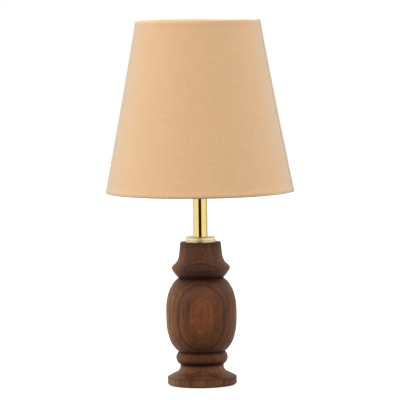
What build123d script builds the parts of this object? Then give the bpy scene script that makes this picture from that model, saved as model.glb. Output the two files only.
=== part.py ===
from build123d import *
import math
import os

# An urn table lamp: a turned wooden base, a brass neck and a tapered fabric shade.
# It stands on the table plane with its turning axis on Z and its front towards -Y.
# Every size is in millimetres and every angle in degrees.

# Clearances
running_gap = 0.3        # between pieces that move past each other
thread_gap = 0.05        # between a screw thread and its hole, as plain cylinders
slip_gap = 0.1           # between pieces that slide together once, at assembly

# Felt under the foot
felt_thickness = 1.0
felt_inset = 1.5

# Turned wooden base, named from the table upwards
foot_radius = 37.0
plinth_height = 7.8
edge_ease = 0.6
shoulder_swell = 0.1
cove_radius = 6.7
cove_turn = 68.0
cove_height = 11.1
waist_radius = 23.3
waist_height = 2.1
bead_radius = 27.7
bead_round = 8.2
body_groove_radius = 24.7
body_radius = 37.8
body_height = 79.2
collar_groove_radius = 23.9
collar_radius = 31.5
bowl_height = 10.4
bowl_swell = 0.7
wood_neck_radius = 21.8
wood_neck_height = 27.8

# Freehand curves of the turning: share of the height, share of the change in radius
body_swell_low = ((0.10, 0.54), (0.25, 0.87))
body_swell_high = ((0.06, 0.37), (0.15, 0.68), (0.30, 0.935))
neck_flare = ((0.09, 0.86), (0.215, 0.485), (0.39, 0.22), (0.68, 0.09))

# Hollow under the foot, and the way in for the cord
cavity_radius = 17.0
cavity_height = 14.5
inlet_height = 3.9
bushing_radius = 3.2
bushing_length = 10.0
cord_way_radius = 2.6
bushing_lip_radius = 3.8
bushing_lip = 0.8

# Hollow threaded rod that draws the whole lamp together
rod_radius = 5.0
rod_bore_radius = 3.6
rod_clearance = 0.25
rod_tail = 1.0
washer_radius = 13.0
washer_thickness = 1.5
lock_washer_radius = 8.0
lock_washer_thickness = 1.5
lock_washer_slot = 1.2
nut_across_flats = 14.0
nut_height = 4.0
nut_ease = 0.5

# Brass check ring on the wood, brass tube and its end cap
ring_flange_radius = 16.9
ring_flange_height = 2.2
ring_plate_radius = 16.1
ring_plate_height = 3.2
ring_ease = 0.5
tube_radius = 7.9
tube_wall = 0.8
tube_seat_depth = 0.8
tube_length = 56.4
cap_plate_radius = 11.0
cap_plate_height = 1.3
cap_step_radius = 9.0
cap_step_height = 1.2
cap_spigot_depth = 3.0

# Lampholder: domed lower cap
holder_radius = 19.5
holder_wall = 2.0
holder_height = 34.0
holder_foot_radius = 9.0
holder_foot_height = 5.0
dome_height = 10.0
dome_fullness = 0.72
boss_radius = 7.5
boss_height = 10.0
rod_top_margin = 1.0
grub_radius = 1.5
seat_radius = 16.5
seat_depth = 10.0
seat_thickness = 2.0
insert_play = 0.2

# Lampholder: moulded insert with its contacts
insert_radius = 17.8
insert_thickness = 6.0
block_length = 24.0
block_width = 16.0
block_height = 12.0
window_length = 14.0
window_height = 8.5
window_floor = 2.0
shell_radius = 13.3
shell_wall = 0.5
shell_height = 25.0
shell_hole_radius = 9.0
contact_height = 5.0
leaf_width = 5.0
leaf_thickness = 0.5
leaf_root = 7.0
leaf_pad = 2.5
terminal_radius = 1.5
terminal_length = 5.0
terminal_head_radius = 2.4
terminal_head_height = 1.8
terminal_offset = 13.0

# Lampholder: push bar switch, pressed from either side
bar_radius = 2.2
bar_height = 18.0
bar_travel = 6.0
bar_reach = 0.4
button_radius = 3.2
button_length = 5.0
button_ease = 0.8
bridge_radius = 3.4
bridge_width = 4.0
blade_width = 3.0
blade_offset = 1.0

# Lampholder: outer skirt and the ring nut that holds the shade
sleeve_wall = 1.7
skirt_flange_radius = 24.5
skirt_flange_height = 2.0
skirt_radius = 19.8
skirt_height = 26.0
lip_radius = 14.8
lip_height = 2.0
ring_nut_radius = 27.0
ring_nut_rim = 2.5
ring_nut_collar_radius = 22.5
ring_nut_height = 8.0
ring_nut_grips = 12
ring_nut_grip_radius = 2.2
ring_nut_grip_depth = 0.7

# Tapered shade
shade_base_radius = 101.0
shade_top_radius = 66.3
shade_height = 183.5
shade_bow = 0.7
fabric_thickness = 0.5
liner_thickness = 0.4
hem_height = 4.0
hem_lift = 0.35
turn_in_height = 6.0
seam_azimuth = -16.0
seam_sweep = 8.0
base_wire_radius = 1.6
top_wire_radius = 1.2
wire_play = 0.05
fitter_radius = 20.6
fitter_width = 3.4
fitter_thickness = 2.4
fitter_recess = 46.8
arm_wire_radius = 1.2
arm_count = 3
arm_first_azimuth = 90.0
arm_straight = 8.0
arm_bend = 6.0

# Screw-in bulb
bulb_length = 105.0
bulb_radius = 30.0
bulb_shoulder = 40.0
glass_wall = 0.8
glass_neck_radius = 13.8
glass_foot_radius = 12.4
glass_foot_length = 11.0
glass_step = 3.0
bulb_cap_radius = 13.0
bulb_cap_wall = 0.4
bulb_cap_lip = 1.2
bulb_cap_flare = 0.4
bulb_cap_length = 21.0
insulator_low_radius = 5.5
insulator_height = 4.0
tip_radius = 5.0
tip_face_radius = 3.0
tip_height = 1.5
stem_radius = 2.5
stem_height = 32.0
stem_rim_height = 2.0
stem_flare_height = 9.0
stem_flare_wall = 1.0
lead_radius = 0.4
lead_spread = 11.0
lead_height = 18.0
filament_radius = 0.5

# Levels of the turned base
wood_low = felt_thickness
plinth_top = wood_low + plinth_height
waist_low = plinth_top + cove_height
waist_top = waist_low + waist_height
bead_centre_radius = bead_radius - bead_round
bead_level = waist_top + math.sqrt(bead_round**2 - (waist_radius - bead_centre_radius) ** 2)
body_low = bead_level + math.sqrt(bead_round**2 - (body_groove_radius - bead_centre_radius) ** 2)
body_top = body_low + body_height
collar_level = body_top + bowl_height
wood_top = collar_level + wood_neck_height
cavity_top = wood_low + cavity_height
inlet_level = wood_low + inlet_height

# Levels of the metalwork under the foot
washer_low = cavity_top - washer_thickness
lock_washer_low = washer_low - lock_washer_thickness
nut_low = lock_washer_low - nut_height
rod_low = nut_low - rod_tail

# Levels of the neck
ring_flange_top = wood_top + ring_flange_height
ring_top = ring_flange_top + ring_plate_height
tube_low = ring_top - tube_seat_depth
tube_top = tube_low + tube_length
cap_plate_top = tube_top + cap_plate_height
bore_radius = rod_radius + rod_clearance

# Levels of the lampholder
holder_low = cap_plate_top + cap_step_height
holder_top = holder_low + holder_height
dome_top = holder_low + holder_foot_height + dome_height
rod_top = holder_low + boss_height - rod_top_margin
insert_low = holder_top - seat_depth
insert_top = insert_low + insert_thickness
bar_level = holder_low + bar_height
skirt_bore_radius = insert_radius - sleeve_wall
block_low = insert_low - block_height
window_low = block_low + window_floor
window_top = window_low + window_height
tip_level = insert_top + contact_height
shell_top = insert_top + shell_height
skirt_low = holder_top + skirt_flange_height
skirt_top = skirt_low + skirt_height

# Levels of the shade
fitter_low = skirt_low + running_gap
fitter_top = fitter_low + fitter_thickness
fitter_outer_radius = fitter_radius + fitter_width
arm_level = fitter_top - arm_wire_radius
ring_nut_low = fitter_top + running_gap
shade_low = fitter_low - fitter_recess
shade_top = shade_low + shade_height
shade_slope = (shade_base_radius - shade_top_radius) / shade_height
shade_tilt = math.atan(shade_slope)


def shade_radius(level, depth):
    """Radius of the shade's wall at a level, at a depth measured square to its face."""
    share = (level - shade_low) / shade_height
    bow = 4 * shade_bow * share * (1 - share)
    return shade_base_radius - shade_slope * (level - shade_low) - bow - depth / math.cos(shade_tilt)


lining_depth = hem_lift + fabric_thickness
wire_depth = lining_depth + liner_thickness + wire_play
base_wire_level = shade_low + fabric_thickness + base_wire_radius
base_wire_ring = shade_radius(base_wire_level, wire_depth + base_wire_radius)
top_wire_level = shade_top - fabric_thickness - top_wire_radius
top_wire_ring = shade_radius(top_wire_level, wire_depth + top_wire_radius)

# Levels of the bulb
bulb_top = tip_level + bulb_length
bulb_centre = bulb_top - bulb_radius
insulator_low = tip_level + tip_height
thread_low = insulator_low + insulator_height
bulb_cap_top = thread_low + bulb_cap_length
stem_low = bulb_cap_top - glass_foot_length
stem_top = stem_low + stem_height
filament_level = stem_top + lead_height

standing = (Align.CENTER, Align.CENTER, Align.MIN)


def disc(radius, low, high):
    return Pos(0, 0, low) * Cylinder(radius, high - low, align=standing)


def sleeve(inner, outer, low, high):
    return disc(outer, low, high) - disc(inner, low, high)


def turned(*edges, sweep=360.0):
    """A solid turned about the lamp's axis; its outline is drawn as (radius, level)."""
    outline = [edge for item in edges for edge in item.edges()]
    return revolve(Plane.XZ * make_face(outline), Axis.Z, revolution_arc=sweep)


def swelling(start, end, swell):
    """An arc from start to end that swells to the right of the way it runs."""
    return SagittaArc(start, end, -swell) if swell else Line(start, end)


def felt_pad():
    return disc(foot_radius - felt_inset, 0, felt_thickness)


def wood_outline():
    """The half section of the turning, from the foot's centre to the top's centre."""
    foot_inner = foot_radius - edge_ease
    cove_centre = (waist_radius + cove_radius, waist_low)
    cove = CenterArc(cove_centre, cove_radius, 180 + cove_turn, -cove_turn)
    drop_low = body_radius - body_groove_radius
    drop_high = body_radius - collar_groove_radius
    lower = [
        (body_groove_radius + drop_low * swell, body_low + body_height * share)
        for share, swell in body_swell_low
    ]
    upper = [
        (collar_groove_radius + drop_high * swell, body_top - body_height * share)
        for share, swell in reversed(body_swell_high)
    ]
    middle = (body_radius, (body_low + body_top) / 2)
    body_ends = (body_groove_radius, body_low), (collar_groove_radius, body_top)
    body = Spline(body_ends[0], *lower, middle, *upper, body_ends[1], tangents=[(1.3, 1), (-1.3, 1)])
    neck_end = (wood_neck_radius, wood_top - edge_ease)
    drop_neck = collar_radius - wood_neck_radius
    flare = [
        (wood_neck_radius + drop_neck * spread, collar_level + wood_neck_height * share)
        for share, spread in neck_flare
    ]
    neck = Spline((collar_radius, collar_level), *flare, neck_end, tangents=[(0, 1), (-0.1, 1)])
    return [
        Polyline((0, wood_low), (foot_inner, wood_low), (foot_radius, wood_low + edge_ease)),
        Polyline(
            (foot_radius, wood_low + edge_ease),
            (foot_radius, plinth_top - edge_ease),
            (foot_inner, plinth_top),
        ),
        swelling((foot_inner, plinth_top), cove @ 0, shoulder_swell),
        cove,
        Line((waist_radius, waist_low), (waist_radius, waist_top)),
        ThreePointArc((waist_radius, waist_top), (bead_radius, bead_level), body_ends[0]),
        body,
        swelling(body_ends[1], (collar_radius, collar_level), bowl_swell),
        neck,
        Polyline(neck_end, (wood_neck_radius - edge_ease, wood_top), (0, wood_top), (0, wood_low)),
    ]


def inlet_rod(radius, inner_end, outer_end):
    """A round bar along the cord's way in, which leaves the back of the foot along +Y."""
    bar = Cylinder(radius, outer_end - inner_end, align=standing)
    return Pos(0, inner_end, inlet_level) * Rot(-90, 0, 0) * bar


def urn_body():
    wood = turned(*wood_outline())
    wood -= disc(bore_radius, wood_low, wood_top)
    wood -= disc(cavity_radius, wood_low, cavity_top)
    return wood - inlet_rod(bushing_radius, 0, foot_radius)


def cord_bushing():
    barrel = inlet_rod(bushing_radius, foot_radius - bushing_length, foot_radius + bushing_lip)
    lip = inlet_rod(bushing_lip_radius, foot_radius - bushing_lip, foot_radius + bushing_lip)
    lip -= disc(foot_radius, wood_low, plinth_top)
    return barrel + lip - inlet_rod(cord_way_radius, 0, foot_radius + bushing_lip)


def washer():
    return sleeve(bore_radius, washer_radius, washer_low, cavity_top)


def lock_washer():
    ring = sleeve(bore_radius, lock_washer_radius, lock_washer_low, washer_low)
    middle = (bore_radius + lock_washer_radius) / 2
    slot = Box(2 * lock_washer_radius, lock_washer_slot, 3 * lock_washer_thickness)
    return ring - Pos(middle + lock_washer_radius / 2, 0, lock_washer_low) * slot


def hexagon_nut():
    flats = nut_across_flats / 2
    corner = flats / math.cos(math.radians(30))
    body = Pos(0, 0, nut_low) * extrude(RegularPolygon(flats, 6, major_radius=False), nut_height)
    eased = turned(
        Polyline(
            (0, nut_low),
            (flats, nut_low),
            (corner, nut_low + nut_ease),
            (corner, lock_washer_low),
            (0, lock_washer_low),
            (0, nut_low),
        )
    )
    return (body & eased) - disc(rod_radius + thread_gap, nut_low, lock_washer_low)


def threaded_rod():
    return sleeve(rod_bore_radius, rod_radius, rod_low, rod_top)


def check_ring():
    """The stepped brass ring that covers the end of the wood and seats the tube."""
    plate_inner = ring_plate_radius - ring_ease
    flange_inner = ring_flange_radius - ring_ease
    outline = Polyline(
        (bore_radius, wood_top),
        (ring_flange_radius, wood_top),
        (ring_flange_radius, ring_flange_top - ring_ease),
        (flange_inner, ring_flange_top),
        (ring_plate_radius, ring_flange_top),
        (ring_plate_radius, ring_top - ring_ease),
        (plate_inner, ring_top),
        (tube_radius + slip_gap, ring_top),
        (tube_radius + slip_gap, tube_low),
        (bore_radius, tube_low),
        (bore_radius, wood_top),
    )
    return turned(outline)


def neck_tube():
    return sleeve(tube_radius - tube_wall, tube_radius, tube_low, tube_top)


def neck_cap():
    """The stepped plate that closes the tube, with a spigot that centres it."""
    spigot = disc(tube_radius - tube_wall - slip_gap, tube_top - cap_spigot_depth, tube_top)
    plate = disc(cap_plate_radius, tube_top, cap_plate_top)
    step = disc(cap_step_radius, cap_plate_top, holder_low)
    return spigot + plate + step - disc(bore_radius, tube_top - cap_spigot_depth, holder_low)


def holder_cap():
    """The domed lower half of the lampholder, screwed to the rod."""
    foot_top = holder_low + holder_foot_height
    bend_radius = holder_foot_radius + dome_fullness * (holder_radius - holder_foot_radius)
    bend = (bend_radius, foot_top + (1 - dome_fullness) * dome_height)
    dome = ThreePointArc((holder_foot_radius, foot_top), bend, (holder_radius, dome_top))
    inner_floor = foot_top + holder_wall
    inner_radius = holder_radius - holder_wall
    ledge_low = insert_low - seat_thickness
    pocket_radius = insert_radius + insert_play
    cap = turned(
        Polyline((0, holder_low), (holder_foot_radius, holder_low), dome @ 0),
        dome,
        Polyline(
            dome @ 1,
            (holder_radius, holder_top),
            (pocket_radius, holder_top),
            (pocket_radius, insert_low),
            (seat_radius, insert_low),
            (seat_radius, ledge_low),
            (inner_radius, ledge_low),
            (inner_radius, dome_top),
            (holder_foot_radius, inner_floor),
            (boss_radius, inner_floor),
            (boss_radius, holder_low + boss_height),
            (0, holder_low + boss_height),
            (0, holder_low),
        ),
    )
    cap -= disc(rod_radius + thread_gap, holder_low, holder_low + boss_height)
    cap -= bar_rod(bar_radius + running_gap, -holder_radius, holder_radius)
    return cap - grub_rod()


def grub_rod():
    level = holder_low + holder_foot_height / 2
    rod = Cylinder(grub_radius, holder_foot_radius, align=standing)
    radial = Pos(0, 0, level) * Rot(-90, 0, 0) * rod
    return radial - disc(rod_radius, holder_low, holder_low + holder_foot_height)


def grub_screw():
    """The screw that stops the lampholder from turning on the rod."""
    return grub_rod() & disc(holder_foot_radius, holder_low, holder_low + holder_foot_height)


def bar_rod(radius, left, right):
    """A round bar along the switch's line of travel."""
    return Pos(left, 0, bar_level) * Rot(0, 90, 0) * Cylinder(radius, right - left, align=standing)


def holder_insert():
    """The moulded insert: a disc that carries the contacts over a block that guides the bar."""
    block = Pos(0, 0, block_low) * Box(block_length, block_width, block_height, align=standing)
    window = Box(window_length, block_width, window_height, align=standing)
    block -= Pos(0, 0, window_low) * window
    body = disc(insert_radius, insert_low, insert_top) + block
    body -= bar_rod(bar_radius + running_gap, -block_length / 2, block_length / 2)
    for side in (-1, 1):
        body -= Pos(0, side * terminal_offset, insert_low) * Cylinder(
            terminal_radius, terminal_length, align=standing
        )
    return body


def terminal_screws():
    """The two screws that clamp the cord's wires, heads down, under the insert's disc."""
    screws = []
    for side in (-1, 1):
        shank = Cylinder(terminal_radius, terminal_length, align=standing)
        head = Pos(0, 0, -terminal_head_height) * Cylinder(
            terminal_head_radius, terminal_head_height, align=standing
        )
        screws.append(Pos(0, side * terminal_offset, insert_low) * (shank + head))
    return Compound(screws)


def shell_contact():
    """The threaded shell that takes the bulb, as a plain cup with a hole in its floor."""
    outer = shell_radius + shell_wall
    cup = disc(outer, insert_top, shell_top) - disc(shell_radius, insert_top + shell_wall, shell_top)
    return cup - disc(shell_hole_radius, insert_top, insert_top + shell_wall)


def centre_contact():
    """The sprung leaf that bears on the bulb's tip."""
    top = tip_level - running_gap
    leaf = Polyline(
        (-leaf_root, insert_top),
        (leaf_pad, insert_top),
        (leaf_pad, insert_top + leaf_thickness),
        (-leaf_root + 2 * leaf_thickness, insert_top + leaf_thickness),
        (-leaf_pad, top - leaf_thickness),
        (leaf_pad, top - leaf_thickness),
        (leaf_pad, top),
        (-leaf_pad, top),
        (-leaf_root, insert_top + 2 * leaf_thickness),
        (-leaf_root, insert_top),
    )
    return extrude(Plane.XZ * make_face(leaf.edges()), leaf_width / 2, both=True)


def switch_blades():
    """The two fixed contacts that the bridge joins when the bar is pushed across."""
    blade_low = bar_level + bridge_radius + running_gap
    middle = bar_travel / 2
    blades = []
    for side in (-1, 1):
        blade = Box(bridge_width, blade_width, window_top - blade_low, align=standing)
        blades.append(Pos(middle, side * (blade_offset + blade_width / 2), blade_low) * blade)
    return Compound(blades)


bar_rest = -bar_travel / 2
button_inner = holder_radius + bar_travel / 2 + bar_reach


def switch_bar():
    return bar_rod(bar_radius, bar_rest - button_inner, bar_rest + button_inner)


def switch_bridge():
    """The brass sleeve on the bar that closes the circuit."""
    left, right = bar_rest - bridge_width / 2, bar_rest + bridge_width / 2
    return bar_rod(bridge_radius, left, right) - bar_rod(bar_radius, left, right)


def switch_buttons():
    """The two buttons on the ends of the bar."""
    outline = Polyline(
        (0, 0),
        (button_radius, 0),
        (button_radius, button_length - button_ease),
        (button_radius - button_ease, button_length),
        (0, button_length),
        (0, 0),
    )
    button = turned(outline)
    right = Pos(bar_rest + button_inner, 0, bar_level) * Rot(0, 90, 0) * button
    left = Pos(bar_rest - button_inner, 0, bar_level) * Rot(0, -90, 0) * button
    return Compound([left, right])


def holder_skirt():
    """The upper half of the lampholder: a sleeve, a flange for the shade and a threaded barrel."""
    outline = Polyline(
        (skirt_bore_radius, insert_top),
        (insert_radius, insert_top),
        (insert_radius, holder_top),
        (skirt_flange_radius, holder_top),
        (skirt_flange_radius, skirt_low),
        (skirt_radius, skirt_low),
        (skirt_radius, skirt_top),
        (lip_radius, skirt_top),
        (lip_radius, skirt_top - lip_height),
        (skirt_bore_radius, skirt_top - lip_height),
        (skirt_bore_radius, insert_top),
    )
    return turned(outline)


def shade_ring_nut():
    """The ring nut that clamps the shade's fitter, with finger grips round its rim."""
    rim_top = ring_nut_low + ring_nut_rim
    bore = skirt_radius + thread_gap
    nut = disc(ring_nut_radius, ring_nut_low, rim_top)
    nut += disc(ring_nut_collar_radius, rim_top, ring_nut_low + ring_nut_height)
    nut -= disc(bore, ring_nut_low, ring_nut_low + ring_nut_height)
    grip_ring = ring_nut_radius + ring_nut_grip_radius - ring_nut_grip_depth
    for number in range(ring_nut_grips):
        turn = Rot(0, 0, number * 360 / ring_nut_grips)
        nut -= turn * Pos(grip_ring, 0, 0) * disc(ring_nut_grip_radius, ring_nut_low, rim_top)
    return nut


def fitter_ring():
    return sleeve(fitter_radius, fitter_outer_radius, fitter_low, fitter_top)


def wire_ring(ring_radius, wire_radius, level):
    return Pos(0, 0, level) * Torus(ring_radius, wire_radius)


def shade_base_wire():
    return wire_ring(base_wire_ring, base_wire_radius, base_wire_level)


def shade_top_wire():
    return wire_ring(top_wire_ring, top_wire_radius, top_wire_level)


def arm_wires(wire_radius):
    """The arms from the fitter out to the base wire, as full-length wires."""
    start = (fitter_outer_radius - arm_wire_radius, arm_level)
    corner = (fitter_outer_radius + arm_straight, arm_level)
    end = (base_wire_ring, base_wire_level)
    path = Plane.XZ * FilletPolyline(start, corner, end, radius=arm_bend)
    section = Plane(origin=path @ 0, z_dir=path % 0) * Circle(wire_radius)
    arm = sweep(section, path=path)
    return [Rot(0, 0, arm_first_azimuth + number * 360 / arm_count) * arm for number in range(arm_count)]


def shade_arms():
    """The arms cut square to the fitter's rim and saddled on the base wire."""
    ring = disc(fitter_outer_radius, fitter_low, fitter_top)
    wire = shade_base_wire()
    cut = [arm - ring - wire for arm in arm_wires(arm_wire_radius)]
    return Compound([arm.solids().sort_by(SortBy.VOLUME)[-1] for arm in cut])


def wall_arc(low, high, depth):
    """The shade's wall between two levels, as an arc at a depth under its face."""
    middle = (low + high) / 2
    points = [(shade_radius(level, depth), level) for level in (low, middle, high)]
    return ThreePointArc(*points)


def shade_liner():
    """The stiff translucent sheet behind the fabric."""
    low, high = shade_low + fabric_thickness, shade_top - fabric_thickness
    outer = wall_arc(low, high, lining_depth)
    inner = wall_arc(low, high, lining_depth + liner_thickness)
    return turned(outer, inner, Line(outer @ 0, inner @ 0), Line(outer @ 1, inner @ 1))


def turn_in_radius(ring_radius, wire_radius):
    """Outside of the hem's inner turn, which closes round a wire."""
    return ring_radius - wire_radius - wire_play


def shade_fabric():
    """The fabric cover, its hems rolled round both wires, with one overlapped seam."""
    hem_low, hem_high = shade_low + hem_height, shade_top - hem_height
    lining_low, lining_high = shade_low + fabric_thickness, shade_top - fabric_thickness
    base_turn = turn_in_radius(base_wire_ring, base_wire_radius)
    top_turn = turn_in_radius(top_wire_ring, top_wire_radius)
    face = wall_arc(hem_low, hem_high, hem_lift)
    back = wall_arc(lining_low, lining_high, lining_depth)
    cover = turned(
        Polyline(
            (base_turn - fabric_thickness, shade_low),
            (shade_base_radius, shade_low),
            (shade_radius(hem_low, 0), hem_low),
            face @ 0,
        ),
        face,
        Polyline(
            face @ 1,
            (shade_radius(hem_high, 0), hem_high),
            (shade_top_radius, shade_top),
            (top_turn - fabric_thickness, shade_top),
            (top_turn - fabric_thickness, shade_top - turn_in_height),
            (top_turn, shade_top - turn_in_height),
            (top_turn, lining_high),
            back @ 1,
        ),
        back,
        Polyline(
            back @ 0,
            (base_turn, lining_low),
            (base_turn, shade_low + turn_in_height),
            (base_turn - fabric_thickness, shade_low + turn_in_height),
            (base_turn - fabric_thickness, shade_low),
        ),
    )
    lap = wall_arc(hem_low, hem_high, 0)
    strip = turned(lap, face, Line(lap @ 0, face @ 0), Line(lap @ 1, face @ 1), sweep=seam_sweep)
    cover += Rot(0, 0, seam_azimuth) * strip
    for arm in arm_wires(arm_wire_radius + slip_gap):
        cover -= arm
    return cover.solids().sort_by(SortBy.VOLUME)[-1]


def glass_outline(inset):
    """Half section of the bulb's glass from its crown to its foot, at an inset from its face."""
    radius = bulb_radius - inset
    neck = glass_neck_radius - inset
    foot = glass_foot_radius - inset
    shoulder = math.radians(bulb_shoulder)
    below = math.radians(bulb_shoulder) / 2
    crown = (0, bulb_centre + radius)
    belly = (radius * math.cos(below), bulb_centre + radius * math.sin(below))
    turn = (radius * math.cos(shoulder), bulb_centre - radius * math.sin(shoulder))
    throat = (turn[0] - neck) / (1 - math.cos(shoulder))
    neck_top = turn[1] - throat * math.sin(shoulder)
    half = shoulder / 2
    waist = (neck + throat * (1 - math.cos(half)), neck_top + throat * math.sin(half))
    step_top = bulb_cap_top
    step_low = bulb_cap_top - glass_step
    foot_low = bulb_cap_top - glass_foot_length
    return [
        ThreePointArc(crown, belly, turn),
        ThreePointArc(turn, waist, (neck, neck_top)),
        Polyline((neck, neck_top), (neck, step_top), (foot, step_low), (foot, foot_low)),
    ]


def glass_body(inset):
    """The glass's outer or inner form as a closed solid."""
    edges = glass_outline(inset)
    crown, foot_end = edges[0] @ 0, edges[-1] @ 1
    return turned(*edges, Polyline(foot_end, (0, foot_end.Y), (0, crown.Y)))


def bulb_glass():
    return glass_body(0) - glass_body(glass_wall)


def bulb_cap():
    """The bulb's screw cap as a plain shell, its rim flared round the glass."""
    inner = bulb_cap_radius - bulb_cap_wall
    lip = bulb_cap_radius - bulb_cap_lip
    flare = glass_neck_radius + bulb_cap_flare
    outline = Polyline(
        (lip, thread_low),
        (bulb_cap_radius, thread_low),
        (bulb_cap_radius, bulb_cap_top - glass_step),
        (flare, bulb_cap_top),
        (glass_foot_radius, bulb_cap_top),
        (inner, bulb_cap_top - glass_step),
        (inner, thread_low + bulb_cap_wall),
        (lip, thread_low + bulb_cap_wall),
        (lip, thread_low),
    )
    return turned(outline) - glass_body(0)


def bulb_insulator():
    """The glass bead between the cap's lip and its tip."""
    lip = bulb_cap_radius - bulb_cap_lip
    return turned(
        Polyline(
            (0, insulator_low),
            (insulator_low_radius, insulator_low),
            (lip, thread_low),
            (lip, thread_low + bulb_cap_wall),
            (0, thread_low + bulb_cap_wall),
            (0, insulator_low),
        )
    )


def bulb_tip():
    """The solder tip that meets the centre contact."""
    return turned(
        Polyline(
            (0, tip_level),
            (tip_face_radius, tip_level),
            (tip_radius, insulator_low),
            (0, insulator_low),
            (0, tip_level),
        )
    )


def bulb_stem():
    """The glass flare that closes the neck and carries the post."""
    rim = glass_foot_radius - glass_wall
    inner = rim - stem_flare_wall
    throat = stem_low + stem_rim_height + stem_flare_height
    return turned(
        Polyline(
            (0, throat),
            (inner, stem_low + stem_rim_height),
            (inner, stem_low),
            (rim, stem_low),
            (rim, stem_low + stem_rim_height),
            (stem_radius, throat + stem_flare_wall),
            (stem_radius, stem_top),
            (0, stem_top),
            (0, throat),
        )
    )


def filament_arc():
    return CenterArc((0, 0, filament_level), lead_spread, 180, 180)


def bulb_filament():
    """The coiled filament as one smooth wire, in a half circle round the post."""
    arc = filament_arc()
    return sweep(Plane(origin=arc @ 0, z_dir=arc % 0) * Circle(filament_radius), path=arc)


def bulb_leads():
    """Two lead wires to the filament's ends and one support to its middle."""
    root = Vector(stem_radius / 2, 0, stem_top)
    end = Vector(lead_spread, 0, filament_level)
    reach = end - root
    low = root - reach.normalized() * lead_radius
    length = reach.length + lead_radius - filament_radius
    wire = Plane(origin=low, z_dir=reach) * Cylinder(lead_radius, length, align=standing)
    wire -= disc(stem_radius, stem_low, stem_top)
    return Compound([Rot(0, 0, azimuth) * wire for azimuth in (180, 270, 0)])


os.makedirs("parts", exist_ok=True)
nodes = {
    "felt_pad": felt_pad,
    "urn_body": urn_body,
    "cord_bushing": cord_bushing,
    "bottom_washer": washer,
    "lock_washer": lock_washer,
    "bottom_nut": hexagon_nut,
    "threaded_rod": threaded_rod,
    "check_ring": check_ring,
    "neck_tube": neck_tube,
    "neck_cap": neck_cap,
    "holder_cap": holder_cap,
    "holder_grub_screw": grub_screw,
    "holder_insert": holder_insert,
    "terminal_screws": terminal_screws,
    "shell_contact": shell_contact,
    "centre_contact": centre_contact,
    "switch_blades": switch_blades,
    "switch_bar": switch_bar,
    "switch_bridge": switch_bridge,
    "switch_buttons": switch_buttons,
    "holder_skirt": holder_skirt,
    "shade_ring_nut": shade_ring_nut,
    "fitter_ring": fitter_ring,
    "shade_arms": shade_arms,
    "shade_base_wire": shade_base_wire,
    "shade_top_wire": shade_top_wire,
    "shade_liner": shade_liner,
    "shade_fabric": shade_fabric,
    "bulb_glass": bulb_glass,
    "bulb_cap": bulb_cap,
    "bulb_insulator": bulb_insulator,
    "bulb_tip": bulb_tip,
    "bulb_stem": bulb_stem,
    "bulb_leads": bulb_leads,
    "bulb_filament": bulb_filament,
}
for name, make in nodes.items():
    export_step(make(), f"parts/{name}.step")
print("overall height", round(shade_top, 2))
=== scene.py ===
import math

import bpy
from mathutils import Matrix, Vector, noise


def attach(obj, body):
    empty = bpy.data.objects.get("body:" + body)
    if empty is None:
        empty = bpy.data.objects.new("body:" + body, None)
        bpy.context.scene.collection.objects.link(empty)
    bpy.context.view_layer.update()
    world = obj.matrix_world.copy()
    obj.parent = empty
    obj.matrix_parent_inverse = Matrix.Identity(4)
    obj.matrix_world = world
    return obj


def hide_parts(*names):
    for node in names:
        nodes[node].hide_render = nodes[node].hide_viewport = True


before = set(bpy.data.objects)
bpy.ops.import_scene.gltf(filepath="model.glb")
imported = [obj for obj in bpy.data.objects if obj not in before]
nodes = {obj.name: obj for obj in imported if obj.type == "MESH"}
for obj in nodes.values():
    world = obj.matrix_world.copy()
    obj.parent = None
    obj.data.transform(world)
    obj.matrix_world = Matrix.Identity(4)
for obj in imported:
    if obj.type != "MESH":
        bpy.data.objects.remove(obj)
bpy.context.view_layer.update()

mm = 0.001


# View and light

camera = dict(distance=3.2, height=0.428, aimHeight=0.1977, aimRight=0.0001, lens=270.6, roll=-0.77, reach=50)
studio = dict(
    worldForObject=0.85,
    floorForObject=0.12,
    floorForMetal=0.98,
    floorSeen=0.72,
    floorLift=0.70,
    floorRadius=4.0,
    floorLevel=-0.0002,  # a hair under the felt
)
lamps = dict(
    keyLeft=dict(place=(-2.15, -0.78, 0.9), aim=(0, 0, 0.2), size=1.4, power=20.5),
    fillRight=dict(place=(2.2, -0.45, 0.9), aim=(0, 0, 0.22), size=1.4, power=12.5),
    overhead=dict(place=(0, 0.2, 2.2), aim=(0, 0, 0.2), size=1.8, power=7.0),
)
cards = dict(  # seen only in reflections: one by the camera, two behind the lamp
    darkCard=dict(middle=(-0.06, -1.0, 0.4), turn=0, size=(0.84, 1.6), glow=(0.036, 0.019, 0.005, 1)),
    greyCardRight=dict(middle=(0.88, 1.24, 0.01), turn=127, size=(2.41, 0.42), glow=(0.58, 0.58, 0.50, 1)),
    greyCardLeft=dict(middle=(-0.83, 1.38, 0.01), turn=51, size=(2.13, 0.42), glow=(0.82, 0.82, 0.76, 1)),
)


def clearSelection():
    bpy.ops.object.select_all(action="DESELECT")


def pick(piece):
    clearSelection()
    piece.select_set(True)
    bpy.context.view_layer.objects.active = piece


def addToScene(name, data):
    made = bpy.data.objects.new(name, data)
    bpy.context.scene.collection.objects.link(made)
    return made


def placeCamera():
    data = bpy.data.cameras.new("camera")
    data.lens = camera["lens"]
    data.clip_end = camera["reach"]
    made = addToScene("camera", data)
    place = Vector((camera["aimRight"], -camera["distance"], camera["height"]))
    aim = Vector((camera["aimRight"], 0, camera["aimHeight"]))
    turn = (aim - place).to_track_quat("-Z", "Y").to_matrix().to_4x4()
    roll = Matrix.Rotation(math.radians(camera["roll"]), 4, "Z")
    made.matrix_world = Matrix.Translation(place) @ turn @ roll
    bpy.context.scene.camera = made


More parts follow.
